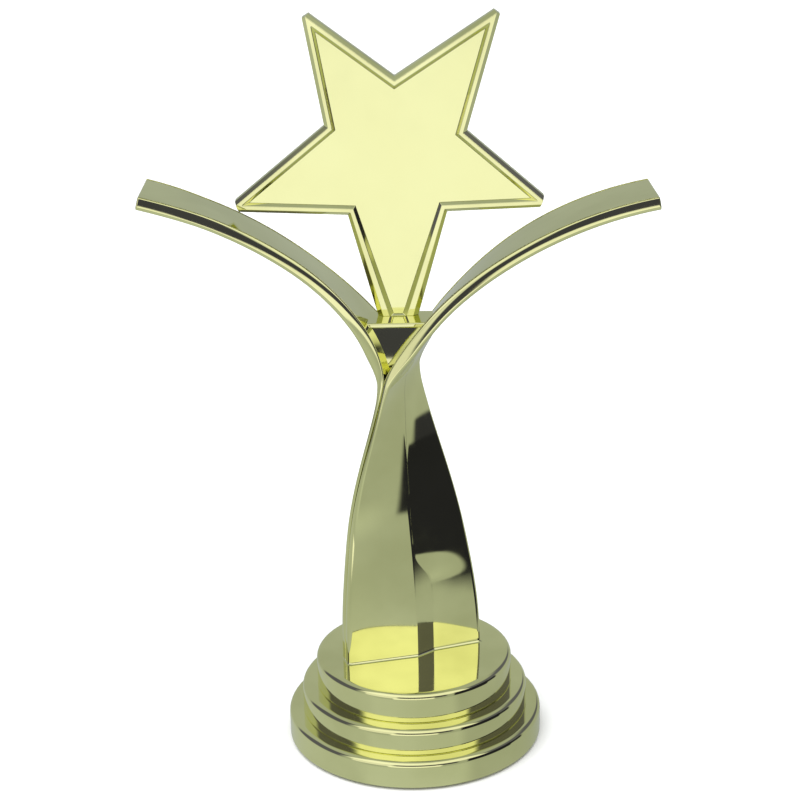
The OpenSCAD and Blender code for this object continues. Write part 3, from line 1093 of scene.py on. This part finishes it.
@dataclass
class Bridge:
    """The block between the arms and the cap on it that the star stands on."""

    column: Column
    top_z: float = 148.5
    cap_t: float = 1.6
    cap_d: float = 13.2
    block_d: float = 12.2
    block_z: float = 129.4
    front_lean: float = 1.9
    foot_lean: float = 0.4
    crease: float = 0.3
    levels: int = 14
    sink: float = 0.5
    blank_w: float = 20.0
    edge: float = 0.45
    flat_angle: float = 30.0

    def blank(self, name: str, middle: float, depth: float, thick: float) -> bpy.types.Object:
        """Saws a blank that a part of the bridge is shaped from.

        Args:
            name: Piece name.
            middle: Height of its middle.
            depth: Size from front to back.
            thick: Size from bottom to top.

        Returns:
            The blank.
        """
        clear_bench()
        bpy.ops.mesh.primitive_cube_add(size=MM, location=(0, 0, middle * MM))
        piece = active_as(name)
        piece.scale = (self.blank_w, depth, thick)
        settle(piece)
        return piece

    def arm_at(self, x: float, z: float, y: float) -> float:
        """Where a part of the bridge ends, sunk a little into the arm beside it.

        Args:
            x: Any place on the arm's side of the middle.
            z: Height above the table.
            y: Place from front to back.

        Returns:
            The end's X in metres.
        """
        ribbon = self.column.right if x > 0 else self.column.left
        return (ribbon.inner_x(z, y) + ribbon.side.value * self.sink) * MM

    def cap(self) -> bpy.types.Object:
        """Shapes the cap from a block: its ends follow the arms and its edges are rounded.

        Returns:
            The cap.
        """
        middle = self.top_z - self.cap_t / 2
        piece = self.blank("bridge_cap_rounded", middle, self.cap_d, self.cap_t)
        for vertex in piece.data.vertices:
            vertex.co.x = self.arm_at(vertex.co.x, vertex.co.z / MM, vertex.co.y / MM)
        soften_edges(piece, width=self.edge, segments=5, angle=self.flat_angle)
        settle(piece)
        return piece

    def block(self) -> bpy.types.Object:
        """Shapes the block below the cap: its front and back swell and lean in to the cap.

        Returns:
            The block.
        """
        high = self.top_z - self.cap_t
        middle = (high + self.block_z) / 2
        piece = self.blank("bridge_block_swelled", middle, self.block_d, high - self.block_z)
        edit_mode("SELECT")
        for level in range(1, self.levels):
            z = self.block_z + (high - self.block_z) * level / self.levels
            bpy.ops.mesh.select_all(action="SELECT")
            bpy.ops.mesh.bisect(plane_co=(0, 0, z * MM), plane_no=(0, 0, 1))
        settle(piece)
        for vertex in piece.data.vertices:
            z, y = vertex.co.z / MM, vertex.co.y / MM
            share = (z - self.block_z) / (high - self.block_z)
            above = max(0.0, (share - self.crease) / (1 - self.crease))
            lean = self.front_lean * above * (1 + above) / 2
            lean += self.foot_lean * max(0.0, 1 - share / self.crease)
            y -= math.copysign(lean, y)
            vertex.co.y = y * MM
            vertex.co.x = self.arm_at(vertex.co.x, z, y)
        edit_mode()
        merge_and_face_out()
        settle(piece)
        with bpy.context.temp_override(object=piece, active_object=piece):
            bpy.ops.object.shade_smooth_by_angle(angle=math.radians(self.flat_angle))
        return piece

    def assemble(self, finishes: Finishes) -> None:
        """Builds the cap and the block and puts them in place of their CAD nodes.

        Args:
            finishes: Finishes of the slots.
        """
        for piece, node in ((self.cap(), "bridge_cap"), (self.block(), "bridge_block")):
            finishes.dress(piece, Slot.PLATE)
            install(piece, node)


# ---- star -----------------------------------------------------------------------------------


@dataclass
class Star:
    """The star's bevelled rim. Its two flat panels stay as the CAD made them."""

    x: float = -2.4
    foot_z: float = 148.5
    front: float = 1.2
    depth: float = 4.6
    rim_w: float = 3.2
    recess: float = 1.0
    bevel: float = 1.4
    crest_in: float = 1.1
    crest_flat: float = 1.2
    ledge_w: float = 1.4
    foot_bar: float = 0.6
    foot_fill: float = 0.8
    foot_near: float = 1.0
    edge: float = 0.14
    flat_angle: float = 12.0
    middle: Span = (0.0, 45.0)
    outline: tuple[Span, ...] = (
        (-28.5, 99.0), (0.1, 77.2), (33.8, 98.8), (22.4, 59.6), (50.5, 34.8), (15.9, 33.9),
        (6.2, 0.0), (-6.8, 0.0), (-15.6, 33.4), (-55.2, 35.4), (-22.2, 62.1),
    )
    tip_cuts: tuple[tuple[int, float], ...] = ((0, 3.0), (2, 3.0), (4, 4.8), (9, 4.8))
    foot_corners: tuple[tuple[int, int], ...] = ((6, 5), (7, 8))

    def corners(self) -> list[Vector]:
        """The outline with its foot carried on below the bridge's top.

        Returns:
            The corner points, across and up.
        """
        points = [Vector(p) for p in self.outline]
        drop = self.rim_w - self.foot_bar
        for foot, notch in self.foot_corners:
            leg = Vector(self.outline[notch]) - Vector(self.outline[foot])
            points[foot] = points[foot] - leg * drop / leg.y
        return points

    def placed(self, spot: Vector, depth: float) -> Vector:
        """A point of the star's plane in the trophy's frame.

        Args:
            spot: Place across and up.
            depth: Distance behind the star's front.

        Returns:
            The point in metres.
        """
        return Vector((self.x + spot.x, self.front + depth, self.foot_z + spot.y)) * MM

    def select_flat(self, piece: bpy.types.Object, depth: float) -> None:
        """Selects the faces that lie square on to the front at one depth.

        Args:
            piece: Rim being made, in edit mode before and after.
            depth: Distance behind the star's front.
        """
        bpy.ops.mesh.select_mode(type="FACE")
        bpy.ops.mesh.select_all(action="DESELECT")
        bpy.ops.object.mode_set(mode="OBJECT")
        for face in piece.data.polygons:
            level = abs(face.center.y - (self.front + depth) * MM) < SAME_LEVEL
            face.select = level and abs(face.normal.y) > SQUARE_ON
        bpy.ops.object.mode_set(mode="EDIT")

    def rim(self) -> bpy.types.Object:
        """Shapes the rim from a flat star: raised, inset to its crest, opened and cut square.

        Returns:
            The rim.
        """
        points = self.corners()
        clear_bench()
        bpy.ops.mesh.primitive_circle_add(vertices=len(points), radius=MM, fill_type="NGON")
        piece = active_as("star_rim")
        for vertex, spot in zip(piece.data.vertices, points):
            vertex.co = self.placed(spot, self.depth)
        edit_mode("SELECT")
        rise = (self.bevel - self.depth) * MM
        bpy.ops.mesh.extrude_region_move(TRANSFORM_OT_translate={"value": (0, rise, 0)})
        merge_and_face_out()
        self.select_flat(piece, self.bevel)
        bpy.ops.mesh.inset(thickness=self.crest_in * MM, depth=self.bevel * MM)
        bpy.ops.mesh.inset(thickness=self.crest_flat * MM)
        inner = self.rim_w - self.crest_in - self.crest_flat
        bpy.ops.mesh.inset(thickness=inner * MM, depth=-self.recess * MM)
        bpy.ops.mesh.delete(type="FACE")
        self.select_flat(piece, self.depth)
        bpy.ops.mesh.inset(thickness=self.rim_w * MM)
        bpy.ops.mesh.delete(type="FACE")
        bpy.ops.mesh.select_mode(type="EDGE")
        bpy.ops.mesh.select_all(action="DESELECT")
        bpy.ops.mesh.select_non_manifold()
        bpy.ops.mesh.bridge_edge_loops()
        merge_and_face_out()
        self.widen_foot(piece)
        count = len(points)
        for tip, cut in self.tip_cuts:
            spot = points[tip]
            last = (points[tip - 1] - spot).normalized()
            ahead = (points[(tip + 1) % count] - spot).normalized()
            inward = (last + ahead).normalized()
            if inward.dot(Vector(self.middle) - spot) < 0:
                inward = -inward
            self.cut(self.placed(spot + inward * cut, 0), -inward)
        self.cut(Vector((0, 0, self.foot_z)) * MM, Vector((0, -1)))
        merge_and_face_out()
        settle(piece)
        soften_edges(piece, width=self.edge, segments=3, angle=self.flat_angle)
        return piece

    def widen_foot(self, piece: bpy.types.Object) -> None:
        """Draws the rim's inner foot corners together, so that it widens towards the foot.

        Args:
            piece: Rim being made, in edit mode before and after.
        """
        points = self.corners()
        inset = self.rim_w + self.ledge_w
        sides = []
        for foot, notch in self.foot_corners:
            leg = points[notch] - points[foot]
            slant = abs(leg.x / leg.y)
            sides.append(abs(points[foot].x) + inset * (slant - math.hypot(1, slant)))
        draw = self.foot_fill * sum(sides) / 2
        low = points[self.foot_corners[0][0]].y
        bpy.ops.object.mode_set(mode="OBJECT")
        for vertex in piece.data.vertices:
            x, z = vertex.co.x / MM - self.x, vertex.co.z / MM - self.foot_z
            if z < low + self.rim_w + self.foot_near:
                share = min(1.0, max(0.0, (z - low) / self.rim_w))
                vertex.co.x -= math.copysign(draw * share, x) * MM
        bpy.ops.object.mode_set(mode="EDIT")

    def cut(self, spot: Vector, away: Vector) -> None:
        """Cuts off what lies beyond a plane and closes the cut.

        Args:
            spot: Point on the plane, in metres.
            away: Direction, across and up, in which everything is cut off.
        """
        bpy.ops.mesh.select_all(action="SELECT")
        bpy.ops.mesh.bisect(
            plane_co=spot, plane_no=(away.x, 0, away.y), use_fill=True, clear_outer=True
        )

    def assemble(self, finishes: Finishes) -> None:
        """Builds the rim and puts it in place of its CAD node.

        Args:
            finishes: Finishes of the slots.
        """
        piece = self.rim()
        finishes.dress(piece, Slot.PLATE)
        install(piece, "star_frame")


# ---- studio ---------------------------------------------------------------------------------


@dataclass(frozen=True)
class SkyPatch:
    """A soft-edged patch of the studio's surroundings, by direction in degrees.

    Turn runs from the front, -Y, towards +X. Lift is the height above the horizon. Level is the
    patch's brightness, and soft is half the width of its blurred edge.
    """

    turn: Span
    lift: Span
    level: float
    soft: float


@dataclass
class Studio:
    """Plain pale floor, soft light and surroundings, and the camera, with lengths in metres."""

    floor_size: float = 16.0
    patches: tuple[SkyPatch, ...] = (
        SkyPatch((-200, -45), (-95, -12), 0.49, 8),
        SkyPatch((-50, 50), (-75, -26), 0.55, 8),
        SkyPatch((-62, 66), (14, 64), 1.0, 5),
        SkyPatch((66, 158), (14, 42), 0.12, 5),
        SkyPatch((88, 104), (-12, 14), 0.03, 1.5),
        SkyPatch((45, 91), (-18.6, 16), 0.017, 1.2),
        SkyPatch((-122, -66), (-9, 42), 0.10, 5),
        SkyPatch((-56, -20), (-10, 12), 0.82, 2),
        SkyPatch((-18, 36), (-9, 12), 0.05, 2),
        SkyPatch((-24, 22), (-20, -7), 1.0, 1.5),
    )
    base_level: float = 0.42
    white_from: float = 0.7
    dark_to: float = 0.2
    room_tint: Tone = (0.93, 1.0, 0.97)
    dark_tint: Tone = (1.0, 1.0, 1.6)
    floor_tones: tuple[Tone, Tone] = ((0.84, 0.84, 0.84), (0.86, 0.86, 0.86))
    sun_energy: float = 3.4
    sun_height: float = 2.0
    sun_spread: float = 75.0
    sun_tilt: Span = (14.0, -10.0)
    camera_place: tuple[float, float, float] = (0.0, -0.6134, 0.3414)
    camera_pitch: float = 19.83
    camera_yaw: float = -0.26
    camera_roll: float = 1.28
    lens: float = 90.0
    sensor: float = 36.0
    nearest: float = 0.01

    def colour(self, level: float) -> Tone:
        """Colour of the surroundings at one brightness: white where bright, else tinted.

        Args:
            level: Brightness.

        Returns:
            The colour.
        """
        tint = WHITE
        if level < self.white_from:
            tint = self.room_tint if level > self.dark_to else self.dark_tint
        return tuple(level * part for part in tint)

    def surroundings(self) -> None:
        """Paints the surroundings that the plating mirrors; seen directly they are plain white."""
        world = bpy.data.worlds.new("studio")
        bpy.context.scene.world = world
        world.use_nodes = True
        tree = world.node_tree
        bench = NodeBench(tree)
        way = bench.add("ShaderNodeSeparateXYZ")
        bench.join(bench.add("ShaderNodeTexCoord").outputs["Generated"], way.inputs[0])
        front = bench.math("MULTIPLY", way.outputs["Y"], -1.0)
        turn = bench.math("MULTIPLY", bench.math("ARCTAN2", way.outputs["X"], front), DEGREES)
        lift = bench.math("MULTIPLY", bench.math("ARCSINE", way.outputs["Z"]), DEGREES)
        level = bench.add("ShaderNodeRGB").outputs[0]
        level.default_value = (*self.colour(self.base_level), 1)
        for patch in self.patches:
            soft = patch.soft
            edges = []
            for value, (low, high) in ((turn, patch.turn), (lift, patch.lift)):
                edges.append(bench.ranged(value, (low - soft, low + soft), FULL, True))
                edges.append(bench.ranged(value, (high - soft, high + soft), (1.0, 0.0), True))
            share = edges[0]
            for edge in edges[1:]:
                share = bench.math("MULTIPLY", share, edge)
            level = bench.blend(share, level, self.colour(patch.level))
        direct = bench.add("ShaderNodeLightPath").outputs["Is Camera Ray"]
        bench.join(bench.blend(direct, level, WHITE), tree.nodes["Background"].inputs["Color"])

    def floor(self) -> None:
        """Lays the pale floor, which the plating doesn't mirror."""
        clear_bench()
        bpy.ops.mesh.primitive_plane_add(size=self.floor_size)
        floor = active_as("studio_floor")
        made = bpy.data.materials.new("pale_floor")
        made.use_nodes = True
        bench = NodeBench(made.node_tree)
        shader = made.node_tree.nodes["Principled BSDF"]
        place = bench.add("ShaderNodeTexCoord").outputs["Object"]
        clouds = bench.noise(place, scale=3.0, detail=2.0)
        tone = bench.ranged(clouds, source=(0.3, 0.7), target=FULL, smooth=True)
        bench.join(bench.blend(tone, *self.floor_tones), shader.inputs["Base Color"])
        shader.inputs["Roughness"].default_value = 1.0
        shader.inputs["Specular IOR Level"].default_value = 0.0
        floor.data.materials.append(made)
        floor.visible_glossy = False

    def sun(self) -> None:
        """Hangs one very soft light above the front, which the plating doesn't mirror."""
        clear_bench()
        bpy.ops.object.light_add(type="SUN", location=(0, 0, self.sun_height))
        lamp = bpy.context.active_object
        lamp.name = "soft_light"
        lamp.data.energy = self.sun_energy
        lamp.data.angle = math.radians(self.sun_spread)
        lamp.rotation_euler = (*(math.radians(tilt) for tilt in self.sun_tilt), 0)
        lamp.visible_glossy = False

    def camera(self) -> None:
        """Sets up the camera at the height and distance that suit the trophy."""
        clear_bench()
        bpy.ops.object.camera_add()
        camera = bpy.context.active_object
        turns = (self.camera_pitch, self.camera_yaw, self.camera_roll)
        pitch, yaw, roll = (math.radians(turn) for turn in turns)
        ahead = Vector((
            math.sin(yaw) * math.cos(pitch), math.cos(yaw) * math.cos(pitch), -math.sin(pitch)
        ))
        level = Vector((math.cos(yaw), -math.sin(yaw), 0))
        up = level.cross(ahead)
        right = math.cos(roll) * level - math.sin(roll) * up
        top = math.sin(roll) * level + math.cos(roll) * up
        axes = Matrix((right, top, -ahead)).transposed().to_4x4()
        camera.matrix_world = Matrix.Translation(self.camera_place) @ axes
        camera.data.lens = self.lens
        camera.data.sensor_width = self.sensor
        camera.data.clip_start = self.nearest
        bpy.context.scene.camera = camera

    def set_up(self) -> None:
        """Sets up the whole studio."""
        scene = bpy.context.scene
        scene.view_settings.view_transform = "Standard"
        self.surroundings()
        self.floor()
        self.sun()
        self.camera()


# ---- assembly -------------------------------------------------------------------------------


def install(piece: bpy.types.Object, *nodes: str) -> None:
    """Lets a finished piece ride on the trophy in place of its CAD nodes.

    Args:
        piece: Finished piece.
        *nodes: CAD nodes that it stands for.
    """
    piece.data.name = piece.name
    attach(piece, ROOT)
    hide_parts(*nodes)
    log.info("%s: %d faces, stands for %s", piece.name, len(piece.data.polygons), nodes)


@dataclass
class Carried:
    """CAD nodes that are kept as they are and only dressed."""

    slots: dict[str, Slot] = field(default_factory=lambda: {
        "bottom_plate": Slot.STEEL, "ballast_ring": Slot.IRON, "tie_bolt": Slot.STEEL,
        "plain_washer": Slot.STEEL, "spring_washer": Slot.STEEL, "spacer_sleeves": Slot.STEEL,
        "foot_insert": Slot.BRASS, "foot_pins": Slot.STEEL, "ribbon_dowels": Slot.STEEL,
        "bridge_dowels": Slot.STEEL, "star_panel": Slot.PANEL,
        "star_back_plate": Slot.PLATE, "star_pins": Slot.STEEL,
    })

    def assemble(self, finishes: Finishes, nodes: dict[str, bpy.types.Object]) -> None:
        """Dresses the carried-over nodes.

        Args:
            finishes: Finishes of the slots.
            nodes: CAD nodes by name.
        """
        for name, slot in self.slots.items():
            finishes.dress_node(nodes[name], slot)
            log.info("%s: kept, dressed as %s", name, slot.value)


def main() -> None:
    """Builds the trophy's looks and the studio."""
    logging.basicConfig(level=logging.INFO, format="%(name)s: %(message)s")
    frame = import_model()
    finishes = Finishes()
    finishes.build()
    column = Column()
    Base().assemble(finishes)
    column.assemble(finishes)
    Bridge(column).assemble(finishes)
    Star().assemble(finishes)
    Carried().assemble(finishes, frame["nodes"])
    Studio().set_up()


if __name__ == "__main__":
    main()
